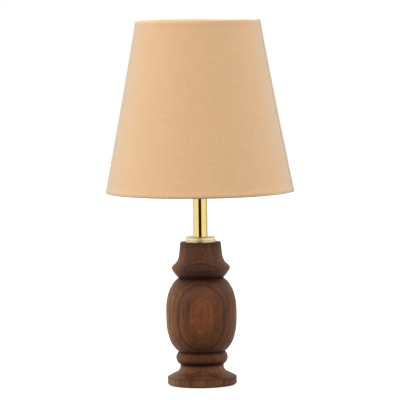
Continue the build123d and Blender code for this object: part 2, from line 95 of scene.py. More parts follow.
def hangLamp(name, place, aim, size, power):
    data = bpy.data.lights.new(name, "AREA")
    data.shape = "DISK"
    data.size = size
    data.energy = power
    made = addToScene(name, data)
    made.location = place
    made.rotation_mode = "QUATERNION"
    made.rotation_quaternion = (Vector(aim) - Vector(place)).to_track_quat("-Z", "Y")
    made.visible_glossy = False


# Node helpers: values are sockets to link, or numbers to set

def addNode(tree, kind, values=None, **settings):
    made = tree.nodes.new("ShaderNode" + kind)
    for key, value in settings.items():
        setattr(made, key, value)
    for socket, value in (values or {}).items():
        if isinstance(value, bpy.types.NodeSocket):
            tree.links.new(value, made.inputs[socket])
        else:
            made.inputs[socket].default_value = value
    return made


def compute(tree, operation, first, second):
    return addNode(tree, "Math", {0: first, 1: second}, operation=operation).outputs[0]


def blendColours(tree, factor, first, second, kind="MIX"):
    made = addNode(tree, "Mix", {0: factor, 6: first, 7: second}, data_type="RGBA", blend_type=kind)
    return made.outputs[2]


def ramp(tree, factor, *stops):
    made = addNode(tree, "ValToRGB", {"Fac": factor})
    elements = made.color_ramp.elements
    while len(elements) < len(stops):
        elements.new(0.5)
    for element, (position, level) in zip(elements, stops):
        element.position = position
        element.color = (level, level, level, 1)
    return made.outputs["Color"]


def paint(red, green, blue):  # screen values 0 to 255, as a linear colour
    def linear(value):
        return ((value / 255 + 0.055) / 1.055) ** 2.4 if value > 10 else value / 3294.6

    return linear(red), linear(green), linear(blue), 1


def newFinish(name, **sockets):
    material = bpy.data.materials.new(name)
    material.use_nodes = True
    surface = material.node_tree.nodes["Principled BSDF"]
    for socket, value in sockets.items():
        surface.inputs[socket.replace("_", " ")].default_value = value
    return material, material.node_tree, surface


def objectPoint(tree, scale):  # the piece's own coordinates, in metres, times a scale for each axis
    place = addNode(tree, "TexCoord").outputs["Object"]
    return addNode(tree, "Mapping", {"Vector": place, "Scale": scale}).outputs[0]


def noiseValue(tree, point, detail, roughness=0.5):
    values = {"Vector": point, "Scale": 1.0, "Detail": detail, "Roughness": roughness}
    return addNode(tree, "TexNoise", values).outputs["Fac"]


def tint(tree, surface, colour, tone):
    tree.links.new(blendColours(tree, 1.0, paint(*colour), tone, "MULTIPLY"), surface.inputs["Base Color"])


def addBump(tree, surface, height, distance):
    bump = addNode(tree, "Bump", {"Height": height, "Distance": distance, "Strength": 1.0})
    tree.links.new(bump.outputs[0], surface.inputs["Normal"])


# Studio

def floorFinish():
    material, tree = newFinish("floor")[:2]
    tree.nodes.clear()
    grey = lambda level: (level, level, level, 1)
    bounce = addNode(tree, "BsdfDiffuse", {"Color": grey(studio["floorForObject"])}).outputs[0]
    mirrored = addNode(tree, "Emission", {"Color": grey(1), "Strength": studio["floorForMetal"]}).outputs[0]
    matt = addNode(tree, "BsdfDiffuse", {"Color": grey(studio["floorSeen"])}).outputs[0]
    lift = addNode(tree, "Emission", {"Color": grey(1), "Strength": studio["floorLift"]}).outputs[0]
    seen = addNode(tree, "AddShader", {0: matt, 1: lift}).outputs[0]
    path = addNode(tree, "LightPath").outputs
    direct = compute(tree, "MAXIMUM", path["Is Camera Ray"], path["Is Transmission Ray"])
    mixed = addNode(tree, "MixShader", {0: direct, 1: bounce, 2: seen}).outputs[0]
    mixed = addNode(tree, "MixShader", {0: path["Is Glossy Ray"], 1: mixed, 2: mirrored}).outputs[0]
    addNode(tree, "OutputMaterial", {"Surface": mixed})
    return material


def paintWorld():
    world = bpy.data.worlds.new("studio")
    bpy.context.scene.world = world
    world.use_nodes = True
    tree = world.node_tree
    tree.nodes.clear()
    path = addNode(tree, "LightPath").outputs
    direct = compute(tree, "MAXIMUM", path["Is Camera Ray"], path["Is Glossy Ray"])
    direct = compute(tree, "MAXIMUM", direct, path["Is Transmission Ray"])
    level = compute(tree, "MULTIPLY", direct, 1 - studio["worldForObject"])
    strength = compute(tree, "ADD", level, studio["worldForObject"])
    light = addNode(tree, "Background", {"Color": (1, 1, 1, 1), "Strength": strength}).outputs[0]
    addNode(tree, "OutputWorld", {"Surface": light})


def layFloor():
    clearSelection()
    bpy.ops.mesh.primitive_circle_add(
        vertices=96, radius=studio["floorRadius"], fill_type="NGON", location=(0, 0, studio["floorLevel"])
    )
    floor = bpy.context.object
    floor.name = "studioFloor"
    floor.data.materials.append(floorFinish())


def standCard(name, middle, turn, size, glow):
    clearSelection()
    bpy.ops.mesh.primitive_plane_add(size=1)
    card = bpy.context.object
    card.name = name
    place = Matrix.Translation(middle) @ Matrix.Rotation(math.radians(turn), 4, "Z")
    upright = Matrix.Rotation(math.pi / 2, 4, "X") @ Matrix.Diagonal((*size, 1, 1))
    card.matrix_world = place @ upright
    lit = dict(Base_Color=(0, 0, 0, 1), Specular_IOR_Level=0.0, Emission_Color=glow, Emission_Strength=1.0)
    card.data.materials.append(newFinish(name, **lit)[0])
    for ray in ("camera", "diffuse", "transmission", "shadow", "volume_scatter"):
        setattr(card, "visible_" + ray, False)


scene = bpy.context.scene
scene.view_settings.view_transform = "Standard"
placeCamera()
paintWorld()
layFloor()
for cardName, cardValues in cards.items():
    standCard(cardName, **cardValues)
for lampName, lampValues in lamps.items():
    hangLamp(lampName, **lampValues)
print("camera, floor and lamps are set")


# Outlines: lists of (radius, level) in millimetres

def arcThrough(start, middle, end, count=12):
    (x1, y1), (x2, y2), (x3, y3) = start, middle, end
    d = 2 * (x1 * (y2 - y3) + x2 * (y3 - y1) + x3 * (y1 - y2))
    s1, s2, s3 = x1 * x1 + y1 * y1, x2 * x2 + y2 * y2, x3 * x3 + y3 * y3
    cx = (s1 * (y2 - y3) + s2 * (y3 - y1) + s3 * (y1 - y2)) / d
    cy = (s1 * (x3 - x2) + s2 * (x1 - x3) + s3 * (x2 - x1)) / d
    radius = math.hypot(x1 - cx, y1 - cy)
    a1, a2, a3 = (math.atan2(y - cy, x - cx) for x, y in (start, middle, end))
    full = 2 * math.pi
    if (a2 - a1) % full > (a3 - a1) % full:
        sweep = -((a1 - a3) % full)
    else:
        sweep = (a3 - a1) % full
    angles = [a1 + sweep * i / count for i in range(count + 1)]
    return [(cx + radius * math.cos(a), cy + radius * math.sin(a)) for a in angles]


def smoothThrough(points, startSlope, endSlope, count=8):  # a fair curve through the points
    spots = [Vector(p) for p in points]
    slopes = [Vector(startSlope).normalized()]
    for before, here, after in zip(spots, spots[1:], spots[2:]):
        a, b = (here - before), (after - here)
        slopes.append((a / a.length ** 2 + b / b.length ** 2).normalized())
    slopes.append(Vector(endSlope).normalized())
    line = [tuple(spots[0])]
    for here, after, out, into in zip(spots, spots[1:], slopes, slopes[1:]):
        reach = (after - here).length
        for i in range(1, count + 1):
            t = i / count
            point = (
                here * (2 * t ** 3 - 3 * t ** 2 + 1)
                + out * reach * (t ** 3 - 2 * t ** 2 + t)
                + after * (3 * t ** 2 - 2 * t ** 3)
                + into * reach * (t ** 3 - t ** 2)
            )
            line.append(tuple(point))
    return line


def easedOutline(corners, closed=True, count=4):  # corners are (radius, level, rounding)
    line = []
    total = len(corners)
    for index, corner in enumerate(corners):
        here = Vector(corner[:2])
        ease = corner[2] if len(corner) > 2 else 0
        before, after = Vector(corners[index - 1][:2]), Vector(corners[(index + 1) % total][:2])
        if not ease or (not closed and index in (0, total - 1)):
            line.append(tuple(here))
            continue
        into, out = (before - here).normalized(), (after - here).normalized()
        half = into.angle(out) / 2
        reach = min(ease / math.tan(half), 0.49 * (before - here).length, 0.49 * (after - here).length)
        radius = reach * math.tan(half)
        centre = here + (into + out).normalized() * radius / math.sin(half)
        start, end = here + into * reach, here + out * reach
        middle = centre + (here - centre).normalized() * radius
        if abs(math.sin(2 * half)) < 1e-4:
            line.append(tuple(here))
        else:
            line += arcThrough(tuple(start), tuple(middle), tuple(end), count)
    return line + [line[0]] if closed else line


def heldRuns(outline, hold=0.12, longest=1.0):  # a point near each end of a long straight run keeps it flat
    line = [outline[0]]
    for a, b in zip(outline, outline[1:]):
        a, b = Vector(a), Vector(b)
        if (b - a).length > longest:
            step = (b - a).normalized() * hold
            line += [tuple(a + step), tuple(b - step)]
        line.append(tuple(b))
    return line


# Lathe: one point is drawn out along the outline, and the line is spun

def turnPiece(name, outline, steps=96, smooth=40.0):
    outline = heldRuns(outline)
    clearSelection()
    bpy.ops.mesh.primitive_plane_add(size=0.01, location=(outline[0][0] * mm, 0, outline[0][1] * mm))
    piece = bpy.context.object
    piece.name = name
    piece.data.name = name
    bpy.ops.object.transform_apply(location=True, rotation=True, scale=True)
    bpy.ops.object.mode_set(mode="EDIT")
    bpy.ops.mesh.select_all(action="SELECT")
    bpy.ops.mesh.merge(type="CENTER")
    for (r1, z1), (r2, z2) in zip(outline, outline[1:]):
        step = ((r2 - r1) * mm, 0, (z2 - z1) * mm)
        bpy.ops.mesh.extrude_region_move(TRANSFORM_OT_translate={"value": step})
    bpy.ops.mesh.select_all(action="SELECT")
    bpy.ops.mesh.spin(steps=steps, angle=2 * math.pi, center=(0, 0, 0), axis=(0, 0, 1))
    bpy.ops.mesh.select_all(action="SELECT")
    bpy.ops.mesh.remove_doubles(threshold=0.000004)
    bpy.ops.mesh.normals_make_consistent(inside=False)
    bpy.ops.object.mode_set(mode="OBJECT")
    softenShading(piece, smooth)
    return piece


def softenShading(piece, angle=40.0):
    pick(piece)
    bpy.ops.object.shade_smooth_by_angle(angle=math.radians(angle))


def applyModifiers(piece):
    pick(piece)
    for name in [m.name for m in piece.modifiers]:
        bpy.ops.object.modifier_apply(modifier=name)


def cutWith(piece, *tools):
    for tool in tools:
        cut = piece.modifiers.new("cut", "BOOLEAN")
        cut.operation = "DIFFERENCE"
        cut.solver = "EXACT"
        cut.object = tool
        applyModifiers(piece)
        bpy.data.objects.remove(tool)


def roundCutter(radius, start, end, sides=64):
    start, end = Vector(start) * mm, Vector(end) * mm
    clearSelection()
    bpy.ops.mesh.primitive_cylinder_add(vertices=sides, radius=radius * mm, depth=(end - start).length)
    tool = bpy.context.object
    turn = (end - start).to_track_quat("Z", "Y").to_matrix().to_4x4()
    tool.data.transform(Matrix.Translation((start + end) / 2) @ turn)
    return tool


def reshape(piece, rule):  # moves each point: rule takes and gives (radius, azimuth, level) in mm
    for vertex in piece.data.vertices:
        radius = math.hypot(vertex.co.x, vertex.co.y) / mm
        azimuth = math.atan2(vertex.co.y, vertex.co.x)
        radius, azimuth, level = rule(radius, azimuth, vertex.co.z / mm)
        vertex.co = (radius * mm * math.cos(azimuth), radius * mm * math.sin(azimuth), level * mm)
    piece.data.update()


def layAcross(piece, place, towards):  # turns a piece made on the Z axis to lie along a direction
    turn = Vector(towards).to_track_quat("Z", "Y").to_matrix().to_4x4()
    piece.data.transform(Matrix.Translation(Vector(place) * mm) @ turn)
    piece.data.update()


def threadOf(pitch, depth, low, high, onWall, fade=1.5):  # a helical ripple between two levels
    def rule(radius, azimuth, level):
        if onWall(radius) and low < level < high:
            ends = min(1.0, (level - low) / fade, (high - level) / fade)
            wave = 0.5 + 0.5 * math.cos(2 * math.pi * level / pitch - azimuth)
            radius -= depth * ends * wave
        return radius, azimuth, level
    return rule


def wireOf(name, points, radius, sides=16):
    data = bpy.data.curves.new(name, "CURVE")
    data.dimensions = "3D"
    line = data.splines.new("POLY")
    line.points.add(len(points) - 1)
    for spot, point in zip(line.points, points):
        spot.co = (*(Vector(point) * mm), 1)
    data.bevel_depth = radius * mm
    data.bevel_resolution = sides // 4 - 1
    data.use_fill_caps = True
    made = addToScene(name, data)
    pick(made)
    bpy.ops.object.convert(target="MESH")
    softenShading(made, 60)
    return made


def finished(piece, body, slot, *replaced):
    piece.data.materials.clear()
    piece.data.materials.append(finish[slot])
    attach(piece, body)
    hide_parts(*replaced)


# Finishes

walnut = dict(
    brown=(114, 74, 50),
    warm=(144, 92, 56),
    # dusk: a darker grey-brown, used for painted shade on the right side and for streaks and patches in the
    # grain
    dusk=(80, 46, 37),
    blush=(182, 102, 54),
    # tan: the tone of the painted light on the sides, the left side and the foot
    tan=(186, 129, 78),
    mist=(108, 78, 69),
    # the tones of the painted light on the left of the foot and of the painted shade on its right
    litStraw=(198, 160, 134),
    shadedBrown=(92, 51, 28),
    dark=(42, 19, 14),
    pithBehind=340.0,
    pithRight=4.0,
    ringPitch=1.15,
    wander=1.2,
    heartAt=(2, -37, 82),
    heartReach=(0.06, 0.06, 0.027),  # one over its half width, depth and height
    grains=dict(  # how fine across and along, detail, roughness, and where the figure starts and is full
        patches=(0.055, 0.022, 3, 0.55, 0.36, 0.64),
        shades=(0.21, 0.018, 2, 0.55, 0.42, 0.72),
        streaks=(0.42, 0.012, 2, 0.55, 0.44, 0.62),
        fibre=(0.9, 0.035, 5, 0.62, 0.34, 0.66),
        glints=(0.75, 0.03, 2, 0.55, 0.56, 0.70),
        dashes=(0.8, 0.16, 1, 0.55, 0.57, 0.66),
        pores=(3.2, 0.16, 1, 0.55, 0.60, 0.70),
    ),
    stains=(  # figure, strength and tone, in the order they go on
        # the first six are painted light and shade: lighter sides, a lighter left side, a darker right side,
        # a lighter foot, lighter on the left of the foot and darker on its right
        ("sides", 0.42, "tan"), ("left", 0.6, "tan"), ("right", 0.43, "dusk"), ("foot", 0.21, "tan"),
        ("footLitLeft", 0.2, "litStraw"), ("footShadedRight", 0.8, "shadedBrown"), ("shades", 0.5, "dusk"),
        ("heart", 0.64, "blush"), ("streaks", 0.20, "dusk"), ("fibre", 0.36, "dusk"),
        ("glints", 0.34, "blush"), ("dashes", 0.36, "dark"), ("fine", 0.34, "dark"),
    ),
    lines=(  # dark rings: depth, half width, strength, and the levels between which they show
        (29.6, 1.3, 0.52, 0, 119), (35.1, 0.6, 0.14, 0, 119), (24.5, 0.9, 0.34, 0, 119),
        (18.0, 1.0, 0.3, 0, 160), (9.5, 1.2, 0.25, 0, 160), (26.1, 1.1, 0.85, 117, 160),
        (29.8, 4.6, 0.60, 117, 160), (23.7, 0.4, 0.3, 117, 160),
    ),
    paintedShade=(  # painted shade by level: darker in the grooves and quirks, under the bead and collar, at the foot's lower edge and towards the top of the neck
        (1.0, 0.15), (4.0, 0.0), (7.0, 0.10), (8.8, 0.50), (9.8, 0.24), (13.0, 0.30), (16.0, 0.10),
        (19.2, 0.0), (20.8, 0.40), (21.8, 0.96), (25.2, 0.86), (26.8, 0.42), (29.0, 0.22), (33.0, 0.32),
        (35.6, 0.88), (37.8, 0.30), (47.0, 0.16), (60.0, 0.0), (95.0, 0.0), (105.0, 0.08), (109.0, 0.28),
        (112.4, 0.62), (114.8, 0.92), (117.8, 0.80), (119.8, 0.42), (124.0, 0.20), (126.5, 0.14),
        (146.0, 0.22), (150.0, 0.45), (153.0, 0.56),
    ),
    cool=((68.0, 0.0), (88.0, 0.06), (102.0, 0.27), (112.0, 0.27), (120.0, 0.20), (153.0, 0.32)),
    # painted light by level: the plinth is made lighter from the floor up to 8 mm
    foot=((0.0, 1.0), (8.0, 1.0), (10.0, 0.0)),
    tall=160,
    broad=80,
    lineFade=4,
    poreStrength=0.42,
    poreDepth=0.05,
)


def walnutFinish():
    w = walnut
    material, tree, surface = newFinish("walnut", Specular_IOR_Level=0.13)
    point = objectPoint(tree, (1000, 1000, 1000))  # in millimetres from here on

    def grain(across, along, detail, roughness=0.55):
        spot = addNode(tree, "Mapping", {"Vector": point, "Scale": (across, across, along)}).outputs[0]
        return noiseValue(tree, spot, detail, roughness)

    def scaled(value, factor, shift=0.0):
        return compute(tree, "ADD", compute(tree, "MULTIPLY", value, factor), shift)

    def stain(colour, amount, strength, tone):
        return blendColours(tree, compute(tree, "MULTIPLY", amount, strength), colour, paint(*w[tone]))

    place = addNode(tree, "SeparateXYZ", {0: point}).outputs
    rise = scaled(place["Z"], 1 / w["tall"])
    across = scaled(place["X"], 1 / w["broad"], 0.5)

    def byLevel(stops):  # stops are (level, amount)
        return ramp(tree, rise, *[(level / w["tall"], amount) for level, amount in stops])

    # growth rings, round a pith well behind the lamp
    wander = scaled(grain(0.03, 0.013, 3), 2 * w["wander"], -w["wander"])
    ripple = scaled(grain(0.5, 0.05, 2), 0.5, -0.25)
    shifted = {"Vector": point, "Location": (-w["pithRight"], -w["pithBehind"], 0), "Scale": (1, 1, 0)}
    pith = addNode(tree, "Mapping", shifted).outputs[0]
    away = addNode(tree, "VectorMath", {0: pith}, operation="LENGTH").outputs["Value"]
    depth = compute(tree, "ADD", scaled(away, 1.0, -w["pithBehind"]), compute(tree, "ADD", wander, ripple))
    growth = compute(tree, "FRACT", scaled(depth, 1 / w["ringPitch"]), 0.0)
    fine = ramp(tree, growth, (0.0, 0.0), (0.55, 0.15), (0.85, 1.0), (1.0, 0.0))
    fineSpread = ramp(tree, grain(0.10, 0.02, 2), (0.35, 0.15), (0.68, 1.0))

    heart = addNode(tree, "Mapping", {"Vector": point, "Location": [-v for v in w["heartAt"]]}).outputs[0]
    heart = addNode(tree, "Mapping", {"Vector": heart, "Scale": w["heartReach"]}).outputs[0]
    warmth = addNode(tree, "VectorMath", {0: heart}, operation="LENGTH").outputs["Value"]
    figures = dict(
        fine=compute(tree, "MULTIPLY", fine, fineSpread),
        # painted highlight: the turning is made lighter where its sides turn away from the camera
        sides=ramp(tree, scaled(depth, 1 / 60, 0.5), (0.15, 0.0), (0.45, 1.0), (0.70, 1.0), (0.90, 0.0)),
        # painted light: the left side of the turning is made lighter
        left=ramp(tree, across, (0.08, 1.0), (0.28, 0.0)),
        # painted shade: the right side of the turning is made darker
        right=ramp(tree, across, (0.75, 0.0), (0.95, 1.0)),
        # painted light: the plinth is made lighter
        foot=byLevel(w["foot"]),
        heart=ramp(tree, warmth, (0.1, 1.0), (1.0, 0.0)),
    )
    # painted light on the left of the foot and painted shade on its right
    figures["footLitLeft"] = compute(tree, "MULTIPLY", figures["foot"], figures["left"])
    figures["footShadedRight"] = compute(tree, "MULTIPLY", figures["foot"], figures["right"])
    for name, (wide, along, detail, roughness, start, full) in w["grains"].items():
        figures[name] = ramp(tree, grain(wide, along, detail, roughness), (start, 0.0), (full, 1.0))
    fibre, pores = figures["fibre"], figures["pores"]

    colour = blendColours(tree, figures["patches"], paint(*w["brown"]), paint(*w["warm"]))
    for name, strength, tone in w["stains"]:
        colour = stain(colour, figures[name], strength, tone)
    for level, half, strength, low, high in w["lines"]:
        off = compute(tree, "ABSOLUTE", scaled(depth, 1 / half, -level / half), 0.0)
        line = ramp(tree, off, (0.0, 1.0), (0.45, 0.7), (1.0, 0.0))
        shown = byLevel(((low - w["lineFade"], 0.0), (low, 1.0), (high, 1.0), (high + w["lineFade"], 0.0)))
        colour = stain(colour, compute(tree, "MULTIPLY", line, shown), strength, "dark")
    colour = stain(colour, pores, w["poreStrength"], "dark")
    colour = stain(colour, byLevel(w["cool"]), 1.0, "mist")
    # painted shade in the grooves and quirks and under the bead and collar
    colour = stain(colour, byLevel(w["paintedShade"]), 1.0, "dark")
    tree.links.new(colour, surface.inputs["Base Color"])
    tree.links.new(scaled(pores, 0.2, 0.46), surface.inputs["Roughness"])
    addBump(tree, surface, compute(tree, "SUBTRACT", scaled(fibre, 0.4), pores), w["poreDepth"] * mm)
    return material


cloth = dict(
    base=(251, 202, 149),
    deep=(234, 178, 122),
    pale=(255, 216, 172),
    evenness=0.70,
    slubsAcross=(60, 700, 1),
    slubsDown=(700, 50, 1),
    mottle=(70, 70, 1),
    threadPitch=0.62,
    threadDepth=0.05,
)


def clothFinish():
    c = cloth
    material, tree, surface = newFinish(
        "shadeCloth", Roughness=0.92, Specular_IOR_Level=0.25,
        Sheen_Weight=1.0, Sheen_Roughness=0.55, Sheen_Tint=(0.97, 1, 0.90, 1),
    )
    uv = addNode(tree, "UVMap", uv_map="cloth").outputs[0]
    apart = addNode(tree, "SeparateXYZ", {0: uv}).outputs

    def threads(distance):
        return compute(tree, "SINE", times(distance, 2 * math.pi / (c["threadPitch"] * mm)), 0.0)

    def slubs(scale, detail=3.0):
        spot = addNode(tree, "Mapping", {"Vector": uv, "Scale": scale}).outputs[0]
        return noiseValue(tree, spot, detail, 0.6)

    def times(value, factor):
        return compute(tree, "MULTIPLY", value, factor)

    warp, weft = threads(apart["X"]), threads(apart["Y"])
    weave = times(warp, weft)
    across, down = slubs(c["slubsAcross"]), slubs(c["slubsDown"])
    mottle = slubs(c["mottle"], 4)
    yarn = compute(tree, "ADD", times(across, 0.55), times(down, 0.35))
    yarn = ramp(tree, yarn, (0.30, 0.0), (0.60, 1.0))
    colour = blendColours(tree, yarn, paint(*c["deep"]), paint(*c["pale"]))
    colour = blendColours(tree, c["evenness"], colour, paint(*c["base"]))
    patch = ramp(tree, mottle, (0.35, 0.98), (0.65, 1.0))
    colour = blendColours(tree, 1.0, colour, patch, "MULTIPLY")
    dip = ramp(tree, weave, (0.0, 0.95), (0.8, 1.0))
    colour = blendColours(tree, 1.0, colour, dip, "MULTIPLY")
    tree.links.new(colour, surface.inputs["Base Color"])
    height = compute(tree, "ADD", times(weave, 0.5), times(across, 1.2))
    addBump(tree, surface, height, c["threadDepth"] * mm)
    return material


def metalFinish(name, colour, roughness, grain=(400, 400, 20), mark=0.06):
    material, tree, surface = newFinish(name, Metallic=1.0, Roughness=roughness)
    spot = objectPoint(tree, grain)
    lines = noiseValue(tree, spot, 4.0, 0.65)
    tone = ramp(tree, lines, (0.3, 1 - mark), (0.7, 1.0))
    tint(tree, surface, colour, tone)
    wear = noiseValue(tree, objectPoint(tree, (90, 90, 90)), 3.0)
    wear = ramp(tree, wear, (0.35, roughness), (0.7, roughness * 1.5))
    tree.links.new(wear, surface.inputs["Roughness"])
    addBump(tree, surface, lines, 0.002 * mm)
    return material


def mouldedFinish(name, colour, roughness=0.35, grainDepth=0.01, speckle=0.05, **sockets):
    material, tree, surface = newFinish(name, **sockets)
    fine = noiseValue(tree, objectPoint(tree, (1500, 1500, 1500)), 3.0)
    broad = noiseValue(tree, objectPoint(tree, (60, 60, 60)), 3.0)
    tone = ramp(tree, broad, (0.3, 1 - speckle), (0.7, 1.0))
    tint(tree, surface, colour, tone)
    tree.links.new(ramp(tree, broad, (0.3, roughness), (0.7, roughness * 1.25)), surface.inputs["Roughness"])
    addBump(tree, surface, fine, grainDepth * mm)
    return material


def feltFinish():
    material, tree, surface = newFinish("felt", Roughness=1.0, Sheen_Weight=0.5, Sheen_Roughness=0.6)
    tangle = noiseValue(tree, objectPoint(tree, (900, 900, 900)), 5.0, 0.7)
    tone = ramp(tree, tangle, (0.35, 0.0), (0.65, 1.0))
    colour = blendColours(tree, tone, paint(52, 66, 48), paint(88, 102, 78))
    tree.links.new(colour, surface.inputs["Base Color"])
    addBump(tree, surface, tangle, 0.3 * mm)
    return material


def glassFinish(name, colour, roughness, ripple=0.01, clear=1.0):
    material, tree, surface = newFinish(name, Roughness=roughness, Transmission_Weight=clear, IOR=1.5)
    haze = noiseValue(tree, objectPoint(tree, (300, 300, 300)), 3.0)
    tone = ramp(tree, haze, (0.3, 0.97), (0.7, 1.0))
    tint(tree, surface, colour, tone)
    addBump(tree, surface, haze, ripple * mm)
    return material


finish = dict(
    walnut=walnutFinish(),
    shade_cloth=clothFinish(),
    felt=feltFinish(),
    polished_brass=metalFinish("polishedBrass", (244, 221, 148), 0.05, grain=(30, 30, 900), mark=0.02),
    pale_brass=metalFinish("paleBrass", (255, 236, 187), 0.34, grain=(30, 30, 900), mark=0.05),
    contact_brass=metalFinish("contactBrass", (226, 190, 118), 0.28),
    zinc_steel=metalFinish("zincSteel", (200, 202, 200), 0.34),
    cap_metal=metalFinish("capMetal", (214, 214, 216), 0.30),
    solder=metalFinish("solder", (196, 196, 192), 0.42),
    lead_wire=metalFinish("leadWire", (190, 184, 176), 0.30),
    tungsten=metalFinish("tungstenWire", (120, 120, 124), 0.38),
    holder_plastic=mouldedFinish("holderPlastic", (236, 232, 220), 0.30, Coat_Weight=0.1),
    insert_ceramic=mouldedFinish("insertPlastic", (214, 208, 190), 0.5),
    black_plastic=mouldedFinish("blackPlastic", (34, 33, 32), 0.45),
    white_enamel=mouldedFinish("whiteEnamel", (238, 237, 232), 0.30, 0.02, Coat_Weight=0.25),
    liner_sheet=mouldedFinish("linerSheet", (240, 234, 220), 0.55, 0.006),
    cap_glass=mouldedFinish("capGlass", (22, 20, 24), 0.12, 0.004),
    bulb_glass=glassFinish("pearlGlass", (250, 250, 248), 0.42, clear=0.7),
    stem_glass=glassFinish("clearGlass", (246, 250, 248), 0.02),
)
print("finishes are mixed")


# Turned base

turning = dict(
    footRadius=37.0, feltTop=1.0, plinthTop=8.8, ease=0.6, shoulderSwell=0.1,
    coveRadius=6.7, coveTurn=68.0, waistRadius=23.3, waistLow=19.9, waistTop=22.0,
    beadRadius=27.7, beadRound=8.2, grooveRadius=24.7, bodyRadius=37.8, bodyHeight=79.2,
    swellLow=((0.10, 0.54), (0.25, 0.87)), swellHigh=((0.06, 0.37), (0.15, 0.68), (0.30, 0.935)),
    topGrooveRadius=23.9, collarRadius=31.5, bowlHeight=10.4, bowlSwell=0.7,
    neckRadius=21.8, neckHeight=27.8,
    flare=((0.09, 0.86), (0.215, 0.485), (0.39, 0.22), (0.68, 0.09)),
    cavityRadius=17.0, cavityTop=15.5, boreRadius=5.25,
    inletRadius=3.2, inletLevel=4.9, inletFrom=5, inletTo=60,
    feltInset=1.5, feltFray=0.12,
)


def bulged(start, end, swell, count=6):  # an arc that swells outwards from a straight line
    a, b = Vector(start), Vector(end)
    side = Vector((b.y - a.y, a.x - b.x)).normalized()
    return arcThrough(start, tuple((a + b) / 2 + side * swell), end, count)


def turningOutline():
    t = turning
    foot, ease = t["footRadius"], t["ease"]
    coveCentre = (t["waistRadius"] + t["coveRadius"], t["waistLow"])
    coveTurn = math.radians(t["coveTurn"])
    cove = []
    for i in range(13):
        angle = math.pi + coveTurn * (1 - i / 12)
        outward, upward = t["coveRadius"] * math.cos(angle), t["coveRadius"] * math.sin(angle)
        cove.append((coveCentre[0] + outward, coveCentre[1] + upward))
    beadCentre = t["beadRadius"] - t["beadRound"]
    beadLevel = t["waistTop"] + math.sqrt(t["beadRound"] ** 2 - (t["waistRadius"] - beadCentre) ** 2)
    bodyLow = beadLevel + math.sqrt(t["beadRound"] ** 2 - (t["grooveRadius"] - beadCentre) ** 2)
    bodyTop = bodyLow + t["bodyHeight"]
    collar = bodyTop + t["bowlHeight"]
    top = collar + t["neckHeight"]
    rise = t["bodyRadius"] - t["grooveRadius"]
    riseTop = t["bodyRadius"] - t["topGrooveRadius"]
    body = [(t["grooveRadius"], bodyLow)]
    body += [(t["grooveRadius"] + rise * out, bodyLow + t["bodyHeight"] * up) for up, out in t["swellLow"]]
    body += [(t["bodyRadius"], (bodyLow + bodyTop) / 2)]
    for down, out in reversed(t["swellHigh"]):
        body.append((t["topGrooveRadius"] + riseTop * out, bodyTop - t["bodyHeight"] * down))
    body += [(t["topGrooveRadius"], bodyTop)]
    flare = t["collarRadius"] - t["neckRadius"]
    neck = [(t["collarRadius"], collar)]
    neck += [(t["neckRadius"] + flare * out, collar + t["neckHeight"] * up) for up, out in t["flare"]]
    neck += [(t["neckRadius"], top - ease)]
    lower = easedOutline(
        [
            (t["boreRadius"], t["cavityTop"]), (t["cavityRadius"], t["cavityTop"], 0.4),
            (t["cavityRadius"], t["feltTop"], 0.3), (foot, t["feltTop"], ease),
            (foot, t["plinthTop"], ease), cove[0],
        ],
        closed=False,
    )[:-1]
    line = lower + bulged(lower[-1], cove[0], t["shoulderSwell"])[1:] + cove[1:]
    line += arcThrough((t["waistRadius"], t["waistTop"]), (t["beadRadius"], beadLevel), body[0], 20)
    line += smoothThrough(body, (1.3, 1), (-1.3, 1), 12)[1:]
    line += bulged(body[-1], neck[0], t["bowlSwell"], 8)[1:]
    line += smoothThrough(neck, (0, 1), (-0.1, 1), 8)[1:]
    line += [(t["neckRadius"] - 0.18, top - 0.18), (t["neckRadius"] - ease, top), (t["boreRadius"], top)]
    return line + [line[0]]


def makeTurning():
    t = turning
    piece = turnPiece("woodTurning", turningOutline(), steps=192, smooth=30)
    level = t["inletLevel"]
    cutWith(piece, roundCutter(t["inletRadius"], (0, t["inletFrom"], level), (0, t["inletTo"], level)))
    softenShading(piece, 30)
    finished(piece, "base", "walnut", "urn_body")


def makeFelt():
    radius, high = turning["footRadius"] - turning["feltInset"], turning["feltTop"]
    outline = easedOutline([(0, 0), (radius, 0, 0.25), (radius, high, 0.35), (0, high)], closed=False)
    piece = turnPiece("feltDisc", outline, steps=128)

    def frayed(away, azimuth, level):
        if away > radius - 1:
            away -= turning["feltFray"] * noise.noise(Vector((azimuth * 30, level, 0))) + 0.08
        return away, azimuth, level

    reshape(piece, frayed)
    finished(piece, "base", "felt", "felt_pad")


bushing = dict(bore=2.6, barrel=3.1, lip=3.8, start=27.1, lipStart=36.8, end=37.8)


def makeBushing():
    b = bushing
    outline = easedOutline(
        [
            (b["bore"], b["start"], 0.2), (b["barrel"], b["start"], 0.2), (b["barrel"], b["lipStart"]),
            (b["lip"], b["lipStart"], 0.15), (b["lip"], b["end"], 0.4), (b["bore"], b["end"], 0.5),
        ]
    )
    piece = turnPiece("cordBushing", outline, steps=48)
    layAcross(piece, (0, 0, turning["inletLevel"]), (0, 1, 0))
    finished(piece, "base", "black_plastic", "cord_bushing")


makeTurning()
makeFelt()
makeBushing()
print("turned base is made")


# Brass neck

neck = dict(
    woodTop=153.0, flangeRadius=16.9, flangeTop=155.2, plateRadius=16.1, plateTop=158.4,
    tubeRadius=7.9, tubeWall=0.8, tubeLow=157.6, tubeTop=214.0, seatGap=0.1,
    capRadius=11.0, capTop=215.3, stepRadius=9.0, stepTop=216.5, plugDeep=3,
)


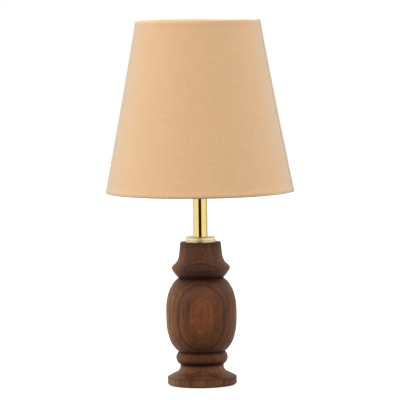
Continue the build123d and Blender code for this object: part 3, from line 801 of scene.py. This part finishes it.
def makeNeck():
    n = neck
    bore, seat = turning["boreRadius"], n["tubeRadius"] + n["seatGap"]
    ring = easedOutline(
        [
            (bore, n["woodTop"]), (n["flangeRadius"], n["woodTop"], 0.25),
            (n["flangeRadius"], n["flangeTop"], 0.5), (n["plateRadius"], n["flangeTop"], 0.2),
            (n["plateRadius"], n["plateTop"], 0.6), (seat, n["plateTop"], 0.15), (seat, n["tubeLow"]),
            (bore, n["tubeLow"]),
        ],
        count=6,
    )
    finished(turnPiece("checkRing", ring, steps=128), "base", "pale_brass", "check_ring")
    inner = n["tubeRadius"] - n["tubeWall"]
    tube = easedOutline(
        [
            (inner, n["tubeLow"], 0.15), (n["tubeRadius"], n["tubeLow"], 0.15),
            (n["tubeRadius"], n["tubeTop"], 0.25), (inner, n["tubeTop"], 0.15),
        ]
    )
    finished(turnPiece("neckTube", tube, steps=160), "base", "polished_brass", "neck_tube")
    cap = easedOutline(
        [
            (bore, n["tubeTop"] - n["plugDeep"]), (inner - n["seatGap"], n["tubeTop"] - n["plugDeep"], 0.2),
            (inner - n["seatGap"], n["tubeTop"]),
            (n["capRadius"], n["tubeTop"], 0.3), (n["capRadius"], n["capTop"], 0.5),
            (n["stepRadius"], n["capTop"], 0.2), (n["stepRadius"], n["stepTop"], 0.4), (bore, n["stepTop"]),
        ]
    )
    finished(turnPiece("neckCap", cap, steps=96), "base", "polished_brass", "neck_cap")


makeNeck()
print("brass neck is made")


# Lampholder

holder = dict(
    low=216.5, footRadius=9.0, footTop=221.5, radius=19.5, domeTop=231.5, fullness=0.72, top=250.5, wall=2.0,
    barLevel=234.5, barRadius=2.2, barGap=0.3, barReach=22.9, barRest=-3.0,
    buttonRadius=3.2, buttonLength=5.0,
    skirtFlange=24.5, skirtLow=252.5, skirtRadius=19.8, skirtTop=278.5, lipRadius=14.8, skirtBore=16.1,
    insertRadius=17.8, insertLow=240.5, insertTop=246.5,
    threadPitch=2.5, threadDepth=0.55,
    nutLow=255.5, nutRim=258.0, nutTop=263.5, nutRadius=27.0, nutCollar=22.5, grips=12, gripDepth=0.7,
    rodBore=5.05, bossRadius=7.5, bossHeight=10, ledgeRadius=16.5, ledgeDeep=2,
    grubRadius=1.5, grubLevel=2.5, grubFrom=5.5, grubTo=12, slotReach=30,
    shellTop=271.5, shellRadius=13.8, shellWall=0.5, shellHole=9,
)
screwPitch = 3.629  # of the bulb's cap and the shell that it screws into


def makeHolderCap():
    h = holder
    radius, low, top, dome = h["radius"], h["low"], h["top"], h["domeTop"]
    inner, seat = radius - h["wall"], h["insertRadius"] + 0.2
    bend = (
        h["footRadius"] + h["fullness"] * (radius - h["footRadius"]),
        h["footTop"] + (1 - h["fullness"]) * (dome - h["footTop"]),
    )
    line = [(h["rodBore"], low), (h["footRadius"] - 0.5, low), (h["footRadius"], low + 0.5)]
    line += arcThrough((h["footRadius"], h["footTop"]), bend, (radius, dome), 16)
    line += [(radius, dome + 1.2), (radius - 0.4, dome + 1.5), (radius, dome + 1.8)]
    line += [(radius, top - 0.5), (radius - 0.15, top - 0.15), (radius - 0.5, top)]
    line += [(seat, top), (seat, h["insertLow"]), (h["ledgeRadius"], h["insertLow"])]
    line += [(h["ledgeRadius"], h["insertLow"] - h["ledgeDeep"]), (inner, h["insertLow"] - h["ledgeDeep"])]
    floor, boss = h["footTop"] + h["wall"], low + h["bossHeight"]
    line += [(inner, dome), (h["footRadius"], floor), (h["bossRadius"], floor)]
    line += [(h["bossRadius"], boss), (h["rodBore"], boss), (h["rodBore"], low)]
    piece = turnPiece("holderCap", line, steps=128, smooth=35)
    slot, grub = h["barRadius"] + h["barGap"], low + h["grubLevel"]
    cutWith(
        piece,
        roundCutter(slot, (-h["slotReach"], 0, h["barLevel"]), (h["slotReach"], 0, h["barLevel"])),
        roundCutter(h["grubRadius"], (0, h["grubFrom"], grub), (0, h["grubTo"], grub), 32),
    )
    softenShading(piece, 35)
    finished(piece, "base", "holder_plastic", "holder_cap")


def makeHolderSkirt():
    h = holder
    rows = 84
    radius, low, high = h["skirtRadius"], h["skirtLow"], h["skirtTop"]
    rim, lip, bore = h["skirtFlange"], h["lipRadius"], h["skirtBore"]
    line = [(bore, h["insertTop"]), (h["insertRadius"], h["insertTop"]), (h["insertRadius"], h["top"])]
    line += [(rim - 0.4, h["top"]), (rim, h["top"] + 0.4), (rim, low - 0.4), (rim - 0.4, low)]
    line += [(radius, low + (high - 0.4 - low) * i / rows) for i in range(rows + 1)]
    line += [(radius - 0.5, high), (lip + 0.4, high), (lip, high - 0.4)]
    line += [(lip, high - 2), (bore, high - 2), (bore, h["insertTop"])]
    piece = turnPiece("holderSkirt", line, steps=96, smooth=35)
    onBarrel = lambda away: abs(away - radius) < 0.05
    reshape(piece, threadOf(h["threadPitch"], h["threadDepth"], low, high - 0.5, onBarrel))
    softenShading(piece, 50)
    finished(piece, "base", "holder_plastic", "holder_skirt")


def makeRingNut():
    h = holder
    line = easedOutline(
        [
            (h["skirtRadius"] + 0.05, h["nutLow"], 0.3), (h["nutRadius"], h["nutLow"], 0.4),
            (h["nutRadius"], h["nutRim"], 0.7), (h["nutCollar"], h["nutRim"], 0.6),
            (h["nutCollar"], h["nutTop"], 0.7), (h["skirtRadius"] + 0.05, h["nutTop"], 0.4),
        ],
        count=5,
    )
    piece = turnPiece("ringNut", line, steps=240, smooth=45)

    def grips(radius, azimuth, level):
        if radius > h["nutCollar"] + 1.0:
            phase = (azimuth * h["grips"] / (2 * math.pi)) % 1.0
            near = max(0.0, 1 - (min(phase, 1 - phase) / 0.16) ** 2)
            radius -= h["gripDepth"] * near ** 0.75 * min(1.0, (radius - h["nutCollar"] - 1.0) / 1.5)
        return radius, azimuth, level

    reshape(piece, grips)
    finished(piece, "base", "holder_plastic", "shade_ring_nut")


def makeSwitch():
    h = holder
    radius, reach = h["barRadius"], h["barReach"]
    rod = easedOutline([(0, -reach), (radius, -reach, 0.2), (radius, reach, 0.2), (0, reach)], closed=False)
    bar = turnPiece("switchBar", rod, steps=40)
    layAcross(bar, (h["barRest"], 0, h["barLevel"]), (1, 0, 0))
    finished(bar, "switch", "insert_ceramic", "switch_bar")
    r, length = h["buttonRadius"], h["buttonLength"]
    cap = [(0, 0), (r - 0.3, 0), (r, 0.3), (r, length - 1.2)]
    cap += arcThrough((r, length - 1.2), (r - 0.35, length - 0.4), (r - 1.3, length), 6)[1:]
    cap += [(0.6 * r, length - 0.12), (0.3 * r, length - 0.3), (0, length - 0.38)]
    for side, name in ((1, "switchButtonRight"), (-1, "switchButtonLeft")):
        button = turnPiece(name, cap, steps=64)
        layAcross(button, (h["barRest"] + side * reach, 0, h["barLevel"]), (side, 0, 0))
        finished(button, "switch", "holder_plastic", "switch_buttons")


def makeShell():
    h = holder
    low, top, hole = h["insertTop"], h["shellTop"], h["shellHole"]
    radius, wall = h["shellRadius"], h["shellWall"]
    rows = 90
    out = [(radius, low + (top - low) * i / rows) for i in range(rows + 1)]
    inn = [(radius - wall, low + wall + (top - low - wall) * i / rows) for i in range(rows, -1, -1)]
    line = [(hole, low)] + out + inn + [(hole, low + wall), (hole, low)]
    piece = turnPiece("shellContact", line, steps=64, smooth=50)
    reshape(piece, threadOf(screwPitch, 0.22, low + 2, top - 1, lambda away: away > radius - wall - 0.05))
    softenShading(piece, 50)
    finished(piece, "base", "contact_brass", "shell_contact")


makeHolderCap()
makeHolderSkirt()
makeRingNut()
makeSwitch()
makeShell()
print("lampholder is made")


# Shade

shade = dict(
    low=206.0, top=389.5, baseRadius=101.0, topRadius=66.3, bow=0.7,
    lift=0.2, cloth=0.38, liner=0.4, hem=4.0, hemFade=1.8, turnIn=6.0,
    seam=-11.0, lap=8.0, baseWire=97.62, baseWireRadius=1.6, topWire=64.05, topWireRadius=1.2,
    fitterInner=20.6, fitterOuter=24.0, fitterLow=252.8, fitterTop=255.2,
    armRadius=1.2, armLevel=254.0, armStraight=8.0, armBend=6.0, baseWireLevel=208.1, arms=(90, 210, 330),
    notchHalf=2.0, notchEase=2.5, notchDeep=4.6, slack=0.10, rimWave=0.45,
    lapClear=1, lapEase=3, unrolledRadius=84,
)
slope = (shade["baseRadius"] - shade["topRadius"]) / (shade["top"] - shade["low"])
tilt = math.atan(slope)


def wallRadius(level, depth):  # the shade's wall at a level, at a depth under its face
    share = (level - shade["low"]) / (shade["top"] - shade["low"])
    bow = 4 * shade["bow"] * share * (1 - share)
    return shade["baseRadius"] - slope * (level - shade["low"]) - bow - depth / math.cos(tilt)


def rimWave(azimuth):  # how far the rim wanders up and down
    turn = azimuth + math.radians(70)
    return shade["rimWave"] * (0.9 * math.cos(2 * turn) + 0.4 * math.cos(turn) + 0.1 * math.sin(5 * turn))


def coverPath():  # the cover's section: in round the base wire, up the wall, out round the top wire
    s = shade
    half = s["cloth"] / 2
    low, high = s["low"] + half, s["top"] - half
    inLow = s["baseWire"] - s["baseWireRadius"] - 0.05 - half
    inHigh = s["topWire"] - s["topWireRadius"] - 0.05 - half
    hemLow, hemHigh = s["low"] + s["hem"], s["top"] - s["hem"]
    deep, fade = s["lift"] + half, s["hemFade"]
    line = easedOutline(
        [
            (inLow, s["low"] + s["turnIn"]), (inLow, low, 1.8), (wallRadius(low, half), low, 1.8),
            (wallRadius(hemLow, half), hemLow, 0.8), (wallRadius(hemLow + fade, deep), hemLow + fade),
        ],
        closed=False,
        count=6,
    )
    rows = 48
    wallLow = hemLow + fade
    rise = hemHigh - fade - wallLow
    line += [(wallRadius(wallLow + rise * i / rows, deep), wallLow + rise * i / rows) for i in range(1, rows)]
    line += easedOutline(
        [
            (wallRadius(hemHigh - fade, deep), hemHigh - fade), (wallRadius(hemHigh, half), hemHigh, 0.8),
            (wallRadius(high, half), high, 1.5), (inHigh, high, 1.3), (inHigh, s["top"] - s["turnIn"]),
        ],
        closed=False,
        count=6,
    )
    return line


def eased(share):
    share = max(0.0, min(1.0, share))
    return share * share * (3 - 2 * share)


def armNotch(azimuth, spot):  # how far the hem's inner turn is clipped down where an arm crosses it
    s = shade
    if spot.x > s["baseWire"] - 1.2 or spot.y > s["low"] + s["turnIn"] + 1:
        return 0.0
    nearest = min(abs((math.degrees(azimuth) - arm + 180) % 360 - 180) for arm in s["arms"])
    away = math.radians(nearest) * spot.x
    reach = eased((s["notchHalf"] + s["notchEase"] - away) / s["notchEase"])
    share = max(0.0, (spot.y - s["low"] - 0.5) / (s["turnIn"] - 0.5))
    return reach * share * s["notchDeep"]


def thicken(piece, thickness):
    wall = piece.modifiers.new("thickness", "SOLIDIFY")
    wall.thickness = thickness * mm
    wall.offset = 0
    applyModifiers(piece)


def makeCover():  # one cloth, wrapped round from under its own flap and over the far end
    s = shade
    path = [Vector(p) for p in coverPath()]
    rows, columns = len(path) - 1, 276
    sweep = math.radians(360 + s["lap"])
    along = [0.0]
    for a, b in zip(path, path[1:]):
        along.append(along[-1] + (b - a).length)
    normals = []
    for i in range(rows + 1):
        run = path[min(rows, i + 1)] - path[max(0, i - 1)]
        normals.append(Vector((run.y, -run.x)).normalized())
    middle = along[-1] / 2
    clearSelection()
    bpy.ops.mesh.primitive_grid_add(x_subdivisions=columns, y_subdivisions=rows, size=2)
    cover = bpy.context.object
    cover.name = cover.data.name = "shadeCover"
    spots = {}
    for vertex in cover.data.vertices:
        u = (vertex.co.x + 1) / 2
        row = round((vertex.co.y + 1) / 2 * rows)
        turn = u * sweep
        azimuth = math.radians(s["seam"]) + turn
        over = eased(1 - (math.degrees(turn) - s["lap"] - s["lapClear"]) / s["lapEase"])
        spot = path[row] + normals[row] * (s["cloth"] + 0.02) * over
        spot.y -= armNotch(azimuth, path[row])
        high = max(0.0, min(1.0, (path[row].y - s["low"]) / (s["top"] - s["low"])))
        waved = rimWave(azimuth) * high ** 12 + 0.3 * rimWave(azimuth + 2) * (1 - high) ** 12
        around = Vector((math.cos(azimuth) * 2.2, math.sin(azimuth) * 2.2, path[row].y / 60))
        slack = s["slack"] * noise.noise(around)
        radius = spot.x + slack * math.sin(math.pi * high)
        vertex.co = (radius * mm * math.cos(azimuth), radius * mm * math.sin(azimuth), (spot.y + waved) * mm)
        spots[vertex.index] = (turn * s["unrolledRadius"] * mm, (along[row] - middle) * mm)
    layer = cover.data.uv_layers.active
    layer.name = "cloth"
    for loop in cover.data.loops:
        layer.data[loop.index].uv = spots[loop.vertex_index]
    thicken(cover, s["cloth"])
    softenShading(cover, 60)
    finished(cover, "shade", "shade_cloth", "shade_fabric")


def makeLiner():
    s = shade
    rows = 12
    low, high = s["low"] + 0.6, s["top"] - 0.8
    outer, inner = s["lift"] + s["cloth"] + 0.06, s["lift"] + s["cloth"] + 0.06 + s["liner"]
    up = [low + (high - low) * i / rows for i in range(rows + 1)]
    line = [(wallRadius(z, outer), z) for z in up] + [(wallRadius(z, inner), z) for z in reversed(up)]
    piece = turnPiece("shadeLiner", line + [line[0]], steps=192, smooth=50)
    finished(piece, "shade", "liner_sheet", "shade_liner")


def makeCarrier():
    s = shade
    line = easedOutline(
        [
            (s["fitterInner"], s["fitterLow"], 0.35), (s["fitterOuter"], s["fitterLow"], 0.35),
            (s["fitterOuter"], s["fitterTop"], 0.5), (s["fitterInner"], s["fitterTop"], 0.5),
        ]
    )
    finished(turnPiece("fitterRing", line, steps=96), "shade", "white_enamel", "fitter_ring")
    start = (s["fitterOuter"] - 1.0, s["armLevel"])
    corner = (s["fitterOuter"] + s["armStraight"], s["armLevel"], s["armBend"])
    foot = (s["baseWire"] - 1.2, s["baseWireLevel"] + 0.6)
    path = easedOutline([start, corner, foot], closed=False, count=10)
    for number, azimuth in enumerate(s["arms"], 1):
        turn = Matrix.Rotation(math.radians(azimuth), 3, "Z")
        wire = wireOf(f"shadeArm{number}", [turn @ Vector((r, 0, z)) for r, z in path], s["armRadius"])
        finished(wire, "shade", "white_enamel", "shade_arms")


makeCover()
makeLiner()
makeCarrier()
print("shade is made")


# Bulb

bulb = dict(
    centre=326.5, radius=30.0, capTop=278.0, neckRadius=13.8, footRadius=12.4, footHeight=11.0,
    step=3.0, glass=0.8, shoulder=40.0, capRadius=13.0, capWall=0.4, tipLevel=251.5, insulatorLow=253.0,
    insulatorTop=257.0, insulatorFace=5.5, tipRadius=5.0, tipFace=3.0, threadDepth=1.1,
)


def bulbOutline(inset):
    b = bulb
    radius = b["radius"] - inset
    turn = math.radians(b["shoulder"])
    line = [(0, b["centre"] + radius)]
    steps = 30
    for i in range(1, steps + 1):
        angle = math.pi / 2 - (math.pi / 2 + turn) * i / steps
        line.append((radius * math.cos(angle), b["centre"] + radius * math.sin(angle)))
    shoulder = line[-1]
    neckTop = b["capTop"] + b["step"]
    line += smoothThrough(
        [shoulder, (b["neckRadius"] - inset, neckTop)], (-math.sin(turn), -math.cos(turn)), (0, -1), 16
    )[1:]
    foot = b["footRadius"] - inset
    return line + [(foot, b["capTop"] - 0.4), (foot, b["capTop"] - b["footHeight"])]


def makeBulb():
    b = bulb
    glass = turnPiece("bulbGlass", bulbOutline(0) + bulbOutline(b["glass"])[::-1], steps=96, smooth=60)
    finished(glass, "bulb", "bulb_glass", "bulb_glass")

    rows = 96
    low, high = b["insulatorTop"], b["capTop"]
    outerWall = [(b["capRadius"], low + (high - low) * i / rows) for i in range(rows + 1)]
    innerWall = [(b["capRadius"] - b["capWall"], z) for r, z in reversed(outerWall)]
    cap = turnPiece("bulbCap", outerWall + innerWall + [outerWall[0]], steps=72, smooth=60)
    thread = threadOf(screwPitch, b["threadDepth"], low + 0.6, high - 4.5, lambda radius: True, 2.5)
    reshape(cap, thread)
    softenShading(cap, 60)
    finished(cap, "bulb", "cap_metal", "bulb_cap")

    inner, lip = b["capRadius"] - b["capWall"] - 1.2, b["insulatorTop"] + 0.6
    insulator = easedOutline(
        [
            (b["tipFace"], b["insulatorLow"]), (b["insulatorFace"], b["insulatorLow"], 0.6),
            (inner, b["insulatorTop"], 0.4), (inner, lip), (b["tipFace"], lip),
        ]
    )
    finished(turnPiece("bulbInsulator", insulator, steps=64), "bulb", "cap_glass", "bulb_insulator")

    low, top, radius = b["tipLevel"], b["insulatorLow"], b["tipRadius"]
    tip = [(0, low)] + arcThrough((1.5, low), (radius - 0.7, low + 0.5), (radius, top), 8) + [(0, top)]
    finished(turnPiece("bulbTip", tip, steps=48), "bulb_carriage", "solder", "bulb_tip")


makeBulb()
print("bulb is made")


# The plain inner fittings keep their own meshes and get their finish

remaining = dict(
    zinc_steel=("bottom_washer", "lock_washer", "bottom_nut", "threaded_rod", "holder_grub_screw"),
    insert_ceramic=("holder_insert",),
    contact_brass=("terminal_screws", "centre_contact", "switch_blades", "switch_bridge"),
    white_enamel=("shade_base_wire", "shade_top_wire"),
    stem_glass=("bulb_stem",),
    lead_wire=("bulb_leads",),
    tungsten=("bulb_filament",),
)
for slot, names in remaining.items():
    for name in names:
        nodes[name].data.materials.clear()
        nodes[name].data.materials.append(finish[slot])
print("fittings are finished")
